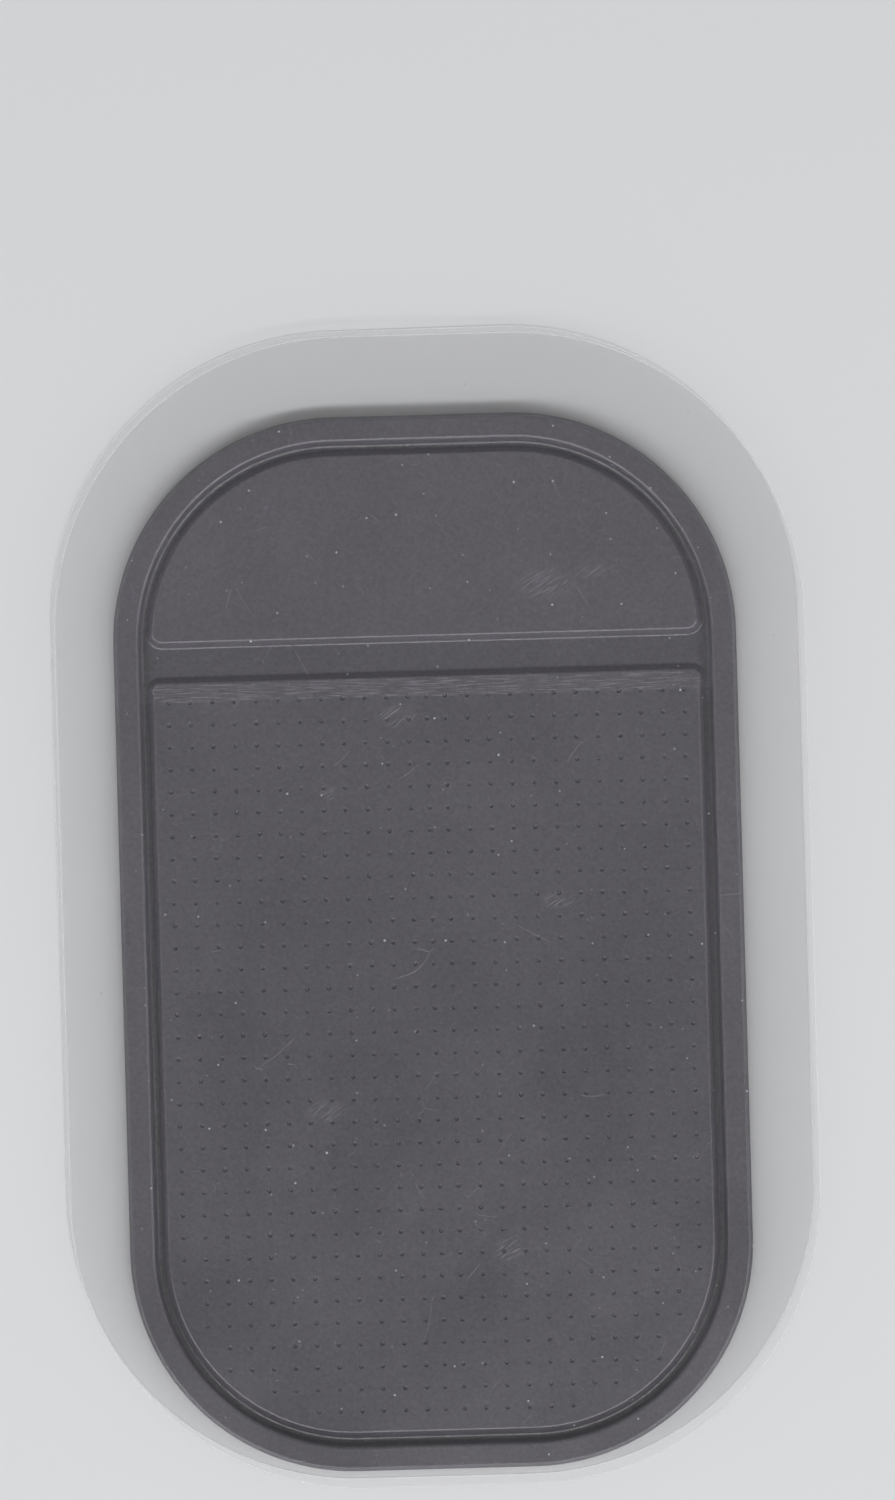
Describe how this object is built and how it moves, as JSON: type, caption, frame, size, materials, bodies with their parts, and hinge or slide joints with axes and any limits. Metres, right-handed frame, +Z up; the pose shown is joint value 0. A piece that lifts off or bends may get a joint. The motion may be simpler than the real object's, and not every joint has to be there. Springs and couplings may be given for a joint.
{
  "type": "bead mat",
  "caption": "Sticky gel bead mat with a raised rim, a plain grip panel and a dimpled field, held between two clear peel-off liners.",
  "frame": {"origin": "middle of the whole on the underside of the back liner, with the mat lying flat", "axes": "+Z up through the mat's working face, +Y along the mat towards the plain grip panel, +X across the mat"},
  "size_m": [0.1, 0.1534, 0.0027],
  "materials": {
    "grey_gel": "moulded soft gel in dark slate grey, satin and slightly tacky",
    "liner_film": "thin clear plastic film, glossy"
  },
  "bodies": {
    "back_liner": {"back_liner": "liner_film"},
    "gel_mat": {"gel_mat": "grey_gel"},
    "front_liner": {"front_liner": "liner_film"}
  },
  "joints": [
    {"name": "mat_lift", "type": "slide", "parent": "back_liner", "child": "gel_mat", "axis": [0, 0, 1], "range_m": [0, 0.03]},
    {"name": "front_lift", "type": "slide", "parent": "gel_mat", "child": "front_liner", "axis": [0, 0, 1], "range_m": [0, 0.03]}
  ]
}
